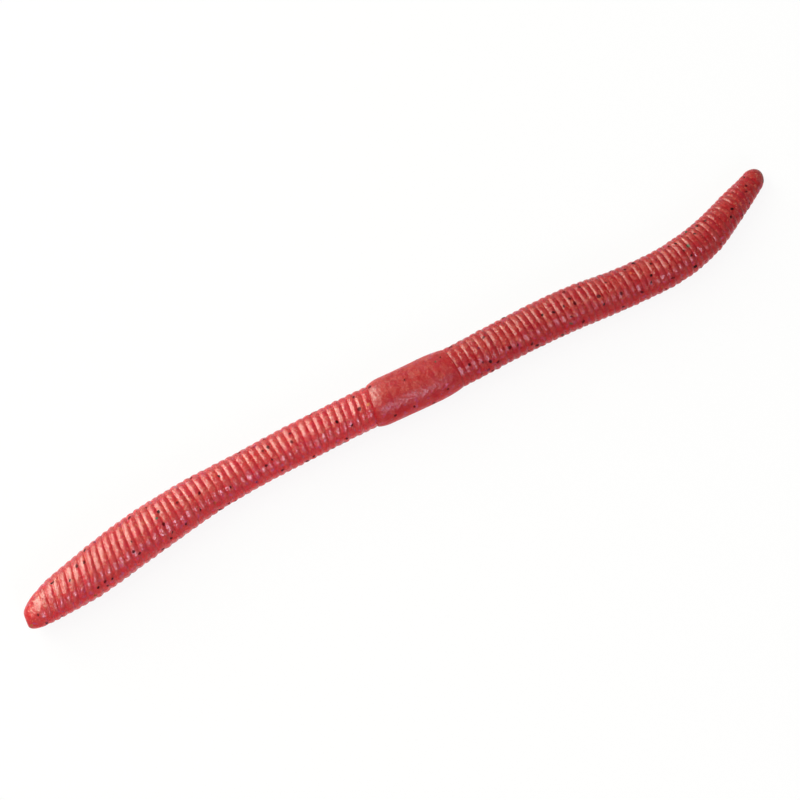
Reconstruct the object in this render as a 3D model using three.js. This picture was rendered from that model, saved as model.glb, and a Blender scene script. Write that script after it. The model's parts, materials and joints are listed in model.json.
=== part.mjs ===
import * as THREE from "three";

// A straight finesse worm: a soft fishing bait moulded in one shot of see-through red plastisol.
// It lies on a table, in millimetres, with +Z up. +X runs from the blunt nose to the tapered tail,
// and the origin is under the middle of its bounding box, on the table.
//
// The real moulding bends anywhere along its length. Here it is divided in its ring grooves into
// short sections. Each section ends, on the side of the saddle, in a ball nearly as thick as its
// rings, which turns in a socket of the next section. The ball shows as the ring that the socket's
// owner leaves out, so the row of rings runs on over each joint.

// Lengths along the body, measured on its centreline from the nose
const bodyLength = 122;
const noseLength = 17.5;
const smoothNoseLength = 2.9;
const neckLength = 19.5;
const saddlePlace = 55.6;
const saddleLength = 12.6;
const saddleFrontRamp = 1.9;
const saddleRearRamp = 3.5;
const napeLength = 3;
const tailLength = 21;
const smoothTipLength = 2.2;
const tipLength = 2.4;

// Radii over the crests of the rings
const noseFaceRadius = 0.7;
const headRadius = 3.49;
const waistRadius = 2.9;
const saddleRadius = 3.28;
const napeRadius = 3.02;
const bellyRadius = 3.08;
const hipRadius = 2.9;
const tipRadius = 1.7;

// Rings. A pitch grows towards the nose or shrinks towards the tail by its thinning share.
const ringDepth = 0.15;
const frontRings = 49;
const rearRings = 54;
const frontThinningShare = 0.025;
const rearThinningShare = 0.07;
const flankShare = 0.2;

// Division into sections
const saddleSideRings = 3;
const sectionRings = 7;
const fewestEndRings = 4;
const ballInset = 0.05;
const socketGap = 0.2;
const rimShare = 0.4;
const bendLimit = 30;

// Faceting
const sides = 16;
const ballSteps = 4;
const rampSteps = 4;
const tipSteps = 4;

// Fullness of the rounded forms, as powers of their curves
const nosePower = 2.15;
const saddlePower = 1.6;
const tailPower = 1.9;
const roundPower = 2;

// How far the nose droops below the axis of the head, and where the belly and the lowest part of
// the waist lie in their stretches
const noseDropShare = 0.12;
const bellyShare = 0.45;
const waistShare = 0.6;

// Route of the centreline over the table, seen from above, as shares of the body length
const routeShares = [
  [0, 0.0047],
  [0.035, 0.0083],
  [0.084, 0.0108],
  [0.17, 0.0171],
  [0.244, 0.0192],
  [0.342, 0.0142],
  [0.442, 0.0041],
  [0.532, -0.0071],
  [0.61, -0.013],
  [0.66, -0.017],
  [0.7, -0.0223],
  [0.771, -0.0345],
  [0.822, -0.0395],
  [0.876, -0.0335],
  [0.928, -0.0165],
  [0.975, 0.0006],
];

// How many degrees each ring leans, its left side towards the tail, at shares of the body length
const leanShares = [
  [0, 17],
  [0.07, 20],
  [0.3, -3],
  [0.44, 9],
  [0.48, 9],
  [0.56, -2],
  [0.76, -6],
  [0.9, 4],
  [1, 4],
];

const saddleEnd = saddlePlace + saddleLength;
const saddleMiddle = (saddlePlace + saddleEnd) / 2;
const neckEnd = noseLength + neckLength;
const napePlace = saddleEnd + napeLength;
const tailPlace = bodyLength - tailLength;
const tipPlace = bodyLength - tipLength;
const bellyPlace = THREE.MathUtils.lerp(napePlace, tailPlace, bellyShare);
const waistPlace = THREE.MathUtils.lerp(noseLength, saddlePlace, waistShare);

// Plain stretches between two values, level at both ends
function ease(from, to, start, end, place) {
  return THREE.MathUtils.lerp(from, to, THREE.MathUtils.smoothstep(place, start, end));
}

function easeThrough(knots, place) {
  const next = knots.findIndex((knot) => place < knot[0]);
  if (next < 0) return knots[knots.length - 1][1];
  if (next === 0) return knots[0][1];
  const [start, from] = knots[next - 1];
  const [end, to] = knots[next];
  return ease(from, to, start, end, place);
}

// A quarter of a superellipse, rising from 0 to 1
function quarterRound(share, power) {
  return (1 - (1 - share) ** power) ** (1 / power);
}

function tailRadius(place) {
  const along = Math.min(1, (place - tailPlace) / (tailLength - tipLength));
  return hipRadius - (hipRadius - tipRadius) * along ** tailPower;
}

// Radius over the crests at a place along the body, the saddle band left out
function crestRadius(place) {
  if (place < noseLength) {
    const swell = quarterRound(place / noseLength, nosePower);
    return THREE.MathUtils.lerp(noseFaceRadius, headRadius, swell);
  }
  if (place < saddleMiddle) return ease(headRadius, waistRadius, noseLength, neckEnd, place);
  if (place < bellyPlace) return ease(napeRadius, bellyRadius, napePlace, bellyPlace, place);
  if (place < tailPlace) return ease(bellyRadius, hipRadius, bellyPlace, tailPlace, place);
  if (place < tipPlace) return tailRadius(place);
  return tailRadius(place) * quarterRound((bodyLength - place) / tipLength, roundPower);
}

function grooveRadius(place) {
  const radius = crestRadius(place);
  return radius - (ringDepth * radius) / headRadius;
}

// The smooth raised band: up from the last groove of the front, down to the first of the rear
function saddleBandRadius(place) {
  const front = quarterRound(Math.min(1, (place - saddlePlace) / saddleFrontRamp), saddlePower);
  const rear = quarterRound(Math.min(1, (saddleEnd - place) / saddleRearRamp), saddlePower);
  const base = grooveRadius(place);
  return base + (saddleRadius - base) * Math.min(front, rear);
}

// Half the thickness on which the soft body lies at each place: it touches the table at the head,
// the waist, the saddle and from the belly back, and its nose stays a little above
const restKnots = [
  [noseLength, headRadius],
  [waistPlace, waistRadius],
  [saddlePlace, saddleRadius],
  [saddleEnd, saddleRadius],
  [bellyPlace, bellyRadius],
  [tailPlace, hipRadius],
];
const facetRise = Math.cos(Math.PI / sides);

function axisHeight(place) {
  if (place < noseLength) {
    const drop = noseDropShare * (1 - place / noseLength) ** roundPower;
    return facetRise * headRadius * (1 - drop);
  }
  return facetRise * (place < tailPlace ? easeThrough(restKnots, place) : tailRadius(place));
}

const routePoints = routeShares.map(([x, y]) => new THREE.Vector3(x, y, 0));
const route = new THREE.CatmullRomCurve3(routePoints, false, "centripetal");
const routeLength = route.getLength();

// Where the axis is at a place, and the directions of the ring there: onward, leftward and up
function frameAt(place) {
  const share = THREE.MathUtils.clamp(place / bodyLength, 0, 1);
  const lean = THREE.MathUtils.degToRad(easeThrough(leanShares, share));
  const centre = route.getPointAt(share).multiplyScalar(bodyLength / routeLength);
  centre.z = axisHeight(place);
  const up = new THREE.Vector3(0, 0, 1);
  const onward = route.getTangentAt(share).applyAxisAngle(up, -lean);
  const leftward = new THREE.Vector3().crossVectors(up, onward);
  return { centre, onward, leftward, up, widening: 1 / Math.cos(lean) };
}

// One polygon round the axis of a frame. Half a step of turn lays one facet flat underneath.
function polygon(frame, centre, radius, widening) {
  return Array.from({ length: sides }, (_, side) => {
    const turn = (2 * Math.PI * (side + 1 / 2)) / sides - Math.PI / 2;
    return centre
      .clone()
      .addScaledVector(frame.leftward, -radius * widening * Math.cos(turn))
      .addScaledVector(frame.up, radius * Math.sin(turn));
  });
}

function station(place, radius) {
  const frame = frameAt(place);
  return polygon(frame, frame.centre, radius, frame.widening);
}

// Polygons over a sphere round a frame's centre, from one latitude towards the pole on the side
// that sign gives, and the pole itself
function dome(frame, radius, sign, firstLatitude) {
  const loops = Array.from({ length: ballSteps }, (_, step) => {
    const latitude = THREE.MathUtils.lerp(firstLatitude, Math.PI / 2, step / ballSteps);
    const centre = frame.centre
      .clone()
      .addScaledVector(frame.onward, sign * radius * Math.sin(latitude));
    return polygon(frame, centre, radius * Math.cos(latitude), 1);
  });
  const pole = frame.centre.clone().addScaledVector(frame.onward, sign * radius);
  return { loops, pole };
}

// The ball's thickest loop lies at the joint's centre, and the socket opens at the rim's place
function ballRadius(place) {
  return crestRadius(place) - ballInset;
}

function ballEnd(place, sign) {
  return dome(frameAt(place), ballRadius(place), sign, 0);
}

function socketEnd(place, rimPlace) {
  const radius = ballRadius(place) + socketGap;
  const reach = Math.abs(rimPlace - place);
  return dome(frameAt(place), radius, Math.sign(rimPlace - place), Math.asin(reach / radius));
}

// A closed solid through a row of polygons, ended by a point at each end
function loft(startPoint, loops, endPoint) {
  const points = [startPoint, ...loops.flat(), endPoint];
  const last = points.length - 1;
  const at = (loop, side) => 1 + loop * sides + (side % sides);
  const index = [];
  for (let side = 0; side < sides; side += 1) {
    index.push(0, at(0, side), at(0, side + 1));
    for (let loop = 0; loop + 1 < loops.length; loop += 1) {
      index.push(at(loop, side), at(loop + 1, side), at(loop + 1, side + 1));
      index.push(at(loop, side), at(loop + 1, side + 1), at(loop, side + 1));
    }
    index.push(last, at(loops.length - 1, side + 1), at(loops.length - 1, side));
  }
  const geometry = new THREE.BufferGeometry().setFromPoints(points);
  geometry.setIndex(index);
  return geometry;
}

// Places of the grooves of a ringed stretch, ring by ring from its nose end to its tail end
function groovePlaces(start, end, count, thinningShare) {
  return Array.from({ length: count + 1 }, (_, ring) => {
    const share = ring / count;
    return THREE.MathUtils.lerp(start, end, share + thinningShare * share * (1 - share));
  });
}

const frontGrooves = groovePlaces(smoothNoseLength, saddlePlace, frontRings, frontThinningShare);
const rearEnd = bodyLength - smoothTipLength;
const rearGrooves = groovePlaces(saddleEnd, rearEnd, rearRings, rearThinningShare);

// The two shoulders of a ring's crest
function shoulders(grooves, ring) {
  const flank = flankShare * (grooves[ring + 1] - grooves[ring]);
  return [grooves[ring] + flank, grooves[ring + 1] - flank];
}

function crest(place) {
  return station(place, crestRadius(place));
}

function groove(place) {
  return station(place, grooveRadius(place));
}

// Loops over the rings from one number up to another, starting and ending in a groove
function ringLoops(grooves, first, end) {
  const loops = [groove(grooves[first])];
  for (let ring = first; ring < end; ring += 1) {
    loops.push(...shoulders(grooves, ring).map(crest), groove(grooves[ring + 1]));
  }
  return loops;
}

// Numbers of the grooves at which the sections of a stretch part, counted from the saddle
function jointGrooves(count) {
  const sections = Math.floor((count - saddleSideRings - fewestEndRings) / sectionRings);
  return Array.from({ length: sections + 1 }, (_, joint) => saddleSideRings + joint * sectionRings);
}

// A joint in a groove: the ring on its saddle side is the ball, and the ring after that is cut
// short by the socket's rim
function frontJoint(number) {
  const rimRing = number + 1;
  const pitch = frontGrooves[rimRing + 1] - frontGrooves[rimRing];
  return {
    place: shoulders(frontGrooves, number)[0],
    rimPlace: frontGrooves[rimRing] + rimShare * pitch,
    rimCrestEnd: shoulders(frontGrooves, rimRing)[1],
    number,
  };
}

function rearJoint(number) {
  const rimRing = number - 2;
  const pitch = rearGrooves[rimRing + 1] - rearGrooves[rimRing];
  return {
    place: shoulders(rearGrooves, number - 1)[1],
    rimPlace: rearGrooves[rimRing + 1] - rimShare * pitch,
    rimCrestEnd: shoulders(rearGrooves, rimRing)[0],
    number,
  };
}

const frontJoints = jointGrooves(frontRings).map((number) => frontJoint(frontRings - number));
const rearJoints = jointGrooves(rearRings).map(rearJoint);

// Front section: its socket takes the ball of the section nearer the nose
function frontSection(outer, inner) {
  const socket = socketEnd(outer.place, outer.rimPlace);
  const ball = ballEnd(inner.place, 1);
  const loops = [
    ...socket.loops.reverse(),
    crest(outer.rimPlace),
    crest(outer.rimCrestEnd),
    ...ringLoops(frontGrooves, outer.number + 2, inner.number),
    ...ball.loops,
  ];
  return loft(socket.pole, loops, ball.pole);
}

// Rear section: the same, the other way round
function rearSection(outer, inner) {
  const ball = ballEnd(inner.place, -1);
  const socket = socketEnd(outer.place, outer.rimPlace);
  const loops = [
    ...ball.loops.reverse(),
    ...ringLoops(rearGrooves, inner.number, outer.number - 2),
    crest(outer.rimCrestEnd),
    crest(outer.rimPlace),
    ...socket.loops,
  ];
  return loft(ball.pole, loops, socket.pole);
}

// Nose: the small flat face where the gate of the mould was cut off, the smooth blunt end and the
// first rings
function nose(inner) {
  const smooth = Array.from({ length: tipSteps }, (_, step) =>
    crest(smoothNoseLength * (step / tipSteps) ** roundPower),
  );
  const ball = ballEnd(inner.place, 1);
  const loops = [...smooth, ...ringLoops(frontGrooves, 0, inner.number), ...ball.loops];
  return loft(frameAt(0).centre, loops, ball.pole);
}

// Tail tip: the last rings and the smooth rounded end
function tailTip(inner) {
  const ball = ballEnd(inner.place, -1);
  const smooth = Array.from({ length: tipSteps - 1 }, (_, step) =>
    crest(bodyLength - smoothTipLength * (1 - (step + 1) / tipSteps) ** roundPower),
  );
  const rings = ringLoops(rearGrooves, inner.number, rearRings);
  const loops = [...ball.loops.reverse(), ...rings, ...smooth];
  return loft(ball.pole, loops, frameAt(bodyLength).centre);
}

// Saddle: the smooth raised band, with the nearest rings and a socket at each end
function saddle(front, rear) {
  const frontSocket = socketEnd(front.place, front.rimPlace);
  const rearSocket = socketEnd(rear.place, rear.rimPlace);
  const rampShares = Array.from({ length: rampSteps }, (_, step) => (step + 1) / rampSteps);
  const frontRamp = rampShares.map((share) => saddlePlace + saddleFrontRamp * share ** roundPower);
  const rearRamp = rampShares.map((share) => saddleEnd - saddleRearRamp * share ** roundPower);
  const loops = [
    ...frontSocket.loops.reverse(),
    crest(front.rimPlace),
    crest(front.rimCrestEnd),
    ...ringLoops(frontGrooves, front.number + 2, frontRings),
    ...[...frontRamp, ...rearRamp.reverse()].map((place) => station(place, saddleBandRadius(place))),
    ...ringLoops(rearGrooves, 0, rear.number - 2),
    crest(rear.rimCrestEnd),
    crest(rear.rimPlace),
    ...rearSocket.loops,
  ];
  return loft(frontSocket.pole, loops, rearSocket.pole);
}

// The plastic is paler and pinker in the front half and a deeper red behind
const frontRed = new THREE.Color("#d0605a");
const saddleRed = new THREE.Color("#bf4240");
const rearRed = new THREE.Color("#a93a3c");

function piece(name, geometry, color, origin) {
  const material = new THREE.MeshStandardMaterial({ color, roughness: 0.38, metalness: 0 });
  const mesh = new THREE.Mesh(geometry.translate(-origin.x, -origin.y, -origin.z), material);
  mesh.name = name;
  return mesh;
}

// Each section hangs in a group at the centre of its ball, inside the group of the section that
// holds the ball, so turning a group bends the worm there. Joints bend sideways and up in turn.
function hinge(place, held, joint, towardsTail) {
  const { centre, leftward, up } = frameAt(place);
  const sideways = joint % 2 === 0;
  const axis = sideways ? up.clone() : leftward.clone().negate();
  const pivot = new THREE.Group();
  pivot.position.copy(centre).sub(held.userData.centre);
  pivot.userData = {
    centre,
    axis: towardsTail ? axis : axis.negate(),
    bend: sideways ? "side" : "lift",
    range: [-bendLimit, bendLimit],
  };
  held.add(pivot);
  return pivot;
}

// Hangs a row of sections from the saddle outward, each in the one before it
function addRow(root, joints, towardsTail, names, colour, sectionBetween, endPiece) {
  let held = root;
  joints.forEach((inner, index) => {
    const outer = joints[index + 1];
    held = hinge(inner.place, held, index, towardsTail);
    const geometry = outer ? sectionBetween(outer, inner) : endPiece(inner);
    const name = outer ? `${names.section}_${index + 1}` : names.end;
    held.add(piece(name, geometry, colour, held.userData.centre));
  });
}

function buildWorm() {
  const root = new THREE.Group();
  root.userData.centre = frameAt(saddleMiddle).centre;
  const band = saddle(frontJoints[0], rearJoints[0]);
  root.add(piece("saddle", band, saddleRed, root.userData.centre));
  const frontNames = { section: "front_section", end: "nose" };
  const rearNames = { section: "rear_section", end: "tail_tip" };
  addRow(root, frontJoints, false, frontNames, frontRed, frontSection, nose);
  addRow(root, rearJoints, true, rearNames, rearRed, rearSection, tailTip);

  root.position.copy(root.userData.centre);
  const worm = new THREE.Group().add(root);
  const middle = new THREE.Box3().setFromObject(worm, true).getCenter(new THREE.Vector3());
  root.position.x -= middle.x;
  root.position.y -= middle.y;
  return worm;
}

export default buildWorm();
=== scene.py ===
# %% [markdown]
# # A soft plastic worm
#
# The real object is a finesse worm, a soft fishing bait cast in one piece from see-through red
# plastisol with glitter flakes in it. Its CAD model is a chain of fifteen rigid sections with a
# joint in between, because a physics model needs solids that turn. This lesson dresses that chain
# in what the eye sees: a soft skin over every joint, the ring grooves at full
# fineness, the plastic and its flakes. It then adds the floor, the camera and the light.
#
# We begin with the imported CAD model. It arrives in metres, in its final place, and nothing in it
# is moved.

# %% Load the CAD model
import json
import math

import bpy
import numpy as np
from mathutils import Matrix, Vector


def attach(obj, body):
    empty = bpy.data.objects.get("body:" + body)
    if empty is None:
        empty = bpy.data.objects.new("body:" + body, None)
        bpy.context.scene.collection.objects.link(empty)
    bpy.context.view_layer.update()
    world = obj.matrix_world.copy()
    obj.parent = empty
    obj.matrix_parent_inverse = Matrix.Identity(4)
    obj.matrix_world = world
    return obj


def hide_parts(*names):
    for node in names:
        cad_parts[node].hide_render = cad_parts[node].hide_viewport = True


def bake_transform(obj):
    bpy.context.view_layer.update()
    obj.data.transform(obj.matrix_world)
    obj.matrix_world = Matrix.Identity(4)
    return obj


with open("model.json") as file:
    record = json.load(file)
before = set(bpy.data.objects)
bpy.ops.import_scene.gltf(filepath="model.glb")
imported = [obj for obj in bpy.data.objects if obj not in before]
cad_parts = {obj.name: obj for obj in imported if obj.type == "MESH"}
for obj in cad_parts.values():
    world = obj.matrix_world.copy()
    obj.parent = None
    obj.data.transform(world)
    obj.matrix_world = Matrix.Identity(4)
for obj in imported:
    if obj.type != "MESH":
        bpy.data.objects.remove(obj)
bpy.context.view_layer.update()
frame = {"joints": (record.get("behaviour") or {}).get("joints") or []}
IN_MM = 1000

# %% [markdown]
# ## Sizes of the worm
#
# The skin has to lie exactly where the CAD sections are, so it is worked out from the same sizes.
# A script that stands alone can't read them from another file, so they are written down again
# here. They are in millimetres, which suits a bait 122 mm long, and the one factor `MM` turns a
# finished shape into Blender's metres.

# %% Lengths, radii and rings in millimetres
MM = 0.001
BODY_LENGTH, NOSE_LENGTH, NECK_LENGTH, TAIL_LENGTH = 122.0, 17.5, 19.5, 21.0
SMOOTH_NOSE_LENGTH, SMOOTH_TIP_LENGTH, TIP_LENGTH, NAPE_LENGTH = 2.9, 2.2, 2.4, 3.0
SADDLE_PLACE, SADDLE_LENGTH, SADDLE_FRONT_RAMP, SADDLE_REAR_RAMP = 55.6, 12.6, 1.9, 3.5
NOSE_FACE_RADIUS, HEAD_RADIUS, WAIST_RADIUS, SADDLE_RADIUS = 0.7, 3.49, 2.9, 3.28
NAPE_RADIUS, BELLY_RADIUS, HIP_RADIUS, TIP_RADIUS = 3.02, 3.08, 2.9, 1.7
RING_DEPTH, FRONT_RINGS, REAR_RINGS = 0.15, 49, 54
FRONT_THINNING_SHARE, REAR_THINNING_SHARE, FLANK_SHARE = 0.025, 0.07, 0.2
SADDLE_SIDE_RINGS, SECTION_RINGS, SECTIONS_PER_SIDE = 3, 7, 7
NOSE_POWER, SADDLE_POWER, TAIL_POWER, ROUND_POWER = 2.15, 1.6, 1.9, 2.0
NOSE_DROP_SHARE, BELLY_SHARE, WAIST_SHARE = 0.12, 0.45, 0.6
CAD_SIDES = 16

SADDLE_END = SADDLE_PLACE + SADDLE_LENGTH
SADDLE_MIDDLE = (SADDLE_PLACE + SADDLE_END) / 2
NECK_END = NOSE_LENGTH + NECK_LENGTH
NAPE_PLACE = SADDLE_END + NAPE_LENGTH
TAIL_PLACE = BODY_LENGTH - TAIL_LENGTH
TIP_PLACE = BODY_LENGTH - TIP_LENGTH
RINGS_END = BODY_LENGTH - SMOOTH_TIP_LENGTH
BELLY_PLACE = NAPE_PLACE + BELLY_SHARE * (TAIL_PLACE - NAPE_PLACE)
WAIST_PLACE = NOSE_LENGTH + WAIST_SHARE * (SADDLE_PLACE - NOSE_LENGTH)
print("saddle from", SADDLE_PLACE, "to", SADDLE_END, "mm of", BODY_LENGTH, "mm")

# %% [markdown]
# ## The line through the body
#
# The bait doesn't lie dead straight: it snakes a little over the table, and its tail curls. A
# centripetal Catmull-Rom curve passes through a few points without overshooting, so it
# draws the same line here as in the CAD source. The curve is sampled densely once, and every later
# question of the kind "where is the axis 40 mm from the nose" is answered by interpolation.
#
# The rings aren't square to that line. Each leans a few degrees, the most at the head, as they do
# on the real casting, so a second table holds the lean.

# %% Route of the centreline and lean of the rings
# Points of the route, as shares of its length
ROUTE_SHARES = [
    (0, 0.0047), (0.035, 0.0083), (0.084, 0.0108), (0.17, 0.0171), (0.244, 0.0192),
    (0.342, 0.0142), (0.442, 0.0041), (0.532, -0.0071), (0.61, -0.013), (0.66, -0.017),
    (0.7, -0.0223), (0.771, -0.0345), (0.822, -0.0395), (0.876, -0.0335), (0.928, -0.0165),
    (0.975, 0.0006),
]
# Places as shares of the length, each with the lean of its rings in degrees
LEAN_SHARES = [
    (0, 17), (0.07, 20), (0.3, -3), (0.44, 9), (0.48, 9), (0.56, -2), (0.76, -6), (0.9, 4), (1, 4),
]
STEPS_PER_SPAN = 400


def catmull_rom_span(before, start, end, after, shares):
    """Points of one span of a centripetal Catmull-Rom curve."""
    gaps = [math.sqrt(math.dist(a, b)) for a, b in ((before, start), (start, end), (end, after))]
    slope_in = (start - before) / gaps[0] - (end - before) / (gaps[0] + gaps[1])
    slope_in = (slope_in + (end - start) / gaps[1]) * gaps[1]
    slope_out = (end - start) / gaps[1] - (after - start) / (gaps[1] + gaps[2])
    slope_out = (slope_out + (after - end) / gaps[2]) * gaps[1]
    t = shares[:, None]
    cubic = 2 * start - 2 * end + slope_in + slope_out
    square = -3 * start + 3 * end - 2 * slope_in - slope_out
    return start + slope_in * t + square * t**2 + cubic * t**3


def sample_route(knots, steps_per_span):
    """The whole curve, densely sampled, with one mirrored point beyond each end."""
    points = [np.array(knot, float) for knot in knots]
    points = [2 * points[0] - points[1], *points, 2 * points[-1] - points[-2]]
    shares = np.linspace(0, 1, steps_per_span, endpoint=False)
    spans = [catmull_rom_span(*points[i : i + 4], shares) for i in range(len(points) - 3)]
    return np.vstack([*spans, points[-2]])


route = sample_route(ROUTE_SHARES, STEPS_PER_SPAN)
route_places = np.append(0, np.cumsum(np.linalg.norm(np.diff(route, axis=0), axis=1)))
route *= BODY_LENGTH / route_places[-1]
route_places *= BODY_LENGTH / route_places[-1]
route_steps = np.gradient(route, axis=0)
route_headings = np.unwrap(np.arctan2(route_steps[:, 1], route_steps[:, 0]))
print("points on the route:", len(route), "tail end in mm:", route[-1].round(2))

# %% [markdown]
# ## Thickness along the body
#
# Seen from the side the worm has a blunt head, a waist before the saddle band, a belly behind it
# and a slim tail. Smooth steps between a few radii give that outline. The saddle band rises from
# the last groove of the front half and falls to the first groove of the rear half, along a quarter
# of an oval at each end.

# %% Outline of the body
def ease(start_value, end_value, start, end, place):
    """A smooth step from one value to the other, level at both ends."""
    share = np.clip((place - start) / (end - start), 0, 1)
    return start_value + (end_value - start_value) * share**2 * (3 - 2 * share)


def ease_through(knots, place):
    """Smooth steps through a row of (place, value) pairs."""
    value = np.full_like(place, knots[0][1], dtype=float)
    for (start, start_value), (end, end_value) in zip(knots, knots[1:]):
        step = ease(start_value, end_value, start, end, place)
        value = np.where(place >= start, step, value)
    return value


def quarter_round(share, power):
    """A quarter of a superellipse, rising from 0 to 1."""
    return (1 - (1 - np.clip(share, 0, 1)) ** power) ** (1 / power)


def tail_radius(place):
    along = np.clip((place - TAIL_PLACE) / (TAIL_LENGTH - TIP_LENGTH), 0, 1)
    return HIP_RADIUS - (HIP_RADIUS - TIP_RADIUS) * along**TAIL_POWER


def crest_radius(place):
    """Radius over the crests of the rings, the saddle band left out."""
    swell = quarter_round(place / NOSE_LENGTH, NOSE_POWER)
    nose = NOSE_FACE_RADIUS + (HEAD_RADIUS - NOSE_FACE_RADIUS) * swell
    neck = ease(HEAD_RADIUS, WAIST_RADIUS, NOSE_LENGTH, NECK_END, place)
    belly = ease(NAPE_RADIUS, BELLY_RADIUS, NAPE_PLACE, BELLY_PLACE, place)
    hip = ease(BELLY_RADIUS, HIP_RADIUS, BELLY_PLACE, TAIL_PLACE, place)
    tail = tail_radius(place)
    tip = tail * quarter_round((BODY_LENGTH - place) / TIP_LENGTH, ROUND_POWER)
    ends = [NOSE_LENGTH, SADDLE_MIDDLE, BELLY_PLACE, TAIL_PLACE, TIP_PLACE]
    return np.select([place < end for end in ends], [nose, neck, belly, hip, tail], tip)


def groove_depth(place):
    return RING_DEPTH * crest_radius(place) / HEAD_RADIUS


REST_KNOTS = [
    (NOSE_LENGTH, HEAD_RADIUS), (WAIST_PLACE, WAIST_RADIUS), (SADDLE_PLACE, SADDLE_RADIUS),
    (SADDLE_END, SADDLE_RADIUS), (BELLY_PLACE, BELLY_RADIUS), (TAIL_PLACE, HIP_RADIUS),
]
TABLE_SHARE = math.cos(math.pi / CAD_SIDES)


def axis_height(place):
    """Height of the axis over the table, on which the soft body lies with a narrow flat."""
    drop = NOSE_DROP_SHARE * (1 - np.clip(place / NOSE_LENGTH, 0, 1)) ** ROUND_POWER
    nose = HEAD_RADIUS * (1 - drop)
    body = ease_through(REST_KNOTS, place)
    height = np.select([place < NOSE_LENGTH, place < TAIL_PLACE], [nose, body], tail_radius(place))
    return TABLE_SHARE * height


knot_places = np.array([place for place, _ in REST_KNOTS])
print("radii in mm from the head to the hip:", crest_radius(knot_places).round(2))

# %% [markdown]
# ## Where the CAD model lies
#
# The CAD source centres the finished worm on the origin. Rather than repeat that sum, the skin is
# shifted so that its first hinge falls on the CAD's own. The other thirteen hinges then test the
# whole construction: if the curve or a radius were wrong, they would not match.

# %% Grooves, hinges and the shift onto the CAD model
def groove_places(start, end, count, thinning_share):
    share = np.arange(count + 1) / count
    return start + (end - start) * (share + thinning_share * share * (1 - share))


front_grooves = groove_places(SMOOTH_NOSE_LENGTH, SADDLE_PLACE, FRONT_RINGS, FRONT_THINNING_SHARE)
rear_grooves = groove_places(SADDLE_END, RINGS_END, REAR_RINGS, REAR_THINNING_SHARE)
joint_rings = [SADDLE_SIDE_RINGS + SECTION_RINGS * joint for joint in range(SECTIONS_PER_SIDE)]


def axis_frame(place):
    """Axis points, the onward and leftward directions of the rings, and their widening."""
    heading = np.interp(place, route_places, route_headings)
    lean = np.radians(ease_through(LEAN_SHARES, place / BODY_LENGTH))
    across = [np.interp(place, route_places, route[:, axis]) for axis in (0, 1)]
    centre = np.stack([*across, axis_height(place)], axis=-1)
    turn = heading - lean
    flat = np.zeros_like(turn)
    onward = np.stack([np.cos(turn), np.sin(turn), flat], axis=-1)
    leftward = np.stack([-np.sin(turn), np.cos(turn), flat], axis=-1)
    return centre, onward, leftward, 1 / np.cos(lean)


def axis_point(place):
    return axis_frame(np.array([place]))[0][0]


# Each joint as the place of its hinge and the width of its ring, from the saddle outward
front_joints, rear_joints = [], []
for rings in joint_rings:
    groove = FRONT_RINGS - rings
    pitch = front_grooves[groove + 1] - front_grooves[groove]
    front_joints.append((front_grooves[groove] + FLANK_SHARE * pitch, pitch))
    pitch = rear_grooves[rings] - rear_grooves[rings - 1]
    rear_joints.append((rear_grooves[rings] - FLANK_SHARE * pitch, pitch))

section_numbers = range(1, SECTIONS_PER_SIDE)
front_bodies = ["saddle", *[f"front_section_{number}" for number in section_numbers], "nose"]
rear_bodies = ["saddle", *[f"rear_section_{number}" for number in section_numbers], "tail_tip"]
cad_joints = {joint["child"]: IN_MM * np.array(joint["pos_m"]) for joint in frame["joints"]}
cad_shift = cad_joints[front_bodies[1]] - axis_point(front_joints[0][0])
cad_shift[2] = 0
misses = [
    np.linalg.norm(axis_point(hinge_place) + cad_shift - cad_joints[body])
    for joints, bodies in ((front_joints, front_bodies), (rear_joints, rear_bodies))
    for (hinge_place, _), body in zip(joints, bodies[1:])
]
print("shift in mm:", cad_shift.round(3), "farthest hinge off by", round(max(misses), 4), "mm")

# %% [markdown]
# ## Rings with the small faults of a casting
#
# On the real bait every ring is a soft ridge with a narrow groove on each side. A plain power
# curve gives that profile: flat on the crest, steep towards the groove. What makes it look cast
# and not turned is that no two rings are alike, so each gets its own seeded height and crest, and
# the grooves wander a little on their way round. These are moves of the mesh itself, so they also
# show in the outline.

# %% Ring profile and its irregularities
FLANK_POWER, GROOVE_FLOOR_SHARE = 1.7, 0.03
SHOULDER_LENGTH, SHOULDER_POWER = 0.8, 2.3
HEIGHT_SPREAD, CREST_SHARE, CREST_SPREAD_SHARE = 0.022, 0.54, 0.06
CALM_LENGTH, RING_SEED = 4, 7
# Slow waves over the skin: how many go round, radians for each mm along, and size in mm
DENT_WAVES = [(2, 0.31, 0.02), (3, -0.53, 0.015)]
DRIFT_WAVES = [(1, 0.47, 0.05), (2, -0.29, 0.035)]

chance = np.random.default_rng(RING_SEED)
front_faults, rear_faults = [
    (chance.normal(0, HEIGHT_SPREAD, count), chance.normal(CREST_SHARE, CREST_SPREAD_SHARE, count))
    for count in (FRONT_RINGS, REAR_RINGS)
]
dent_phases, drift_phases = chance.uniform(0, 2 * math.pi, (2, 2))


def ridge(share, crest_share):
    """Height of a ring over its grooves, from 0 to 1, at a share of its width."""
    before = (crest_share - share) / (crest_share - GROOVE_FLOOR_SHARE)
    after = (share - crest_share) / (1 - crest_share - GROOVE_FLOOR_SHARE)
    return 1 - np.clip(np.where(before > 0, before, after), 0, 1) ** FLANK_POWER


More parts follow.
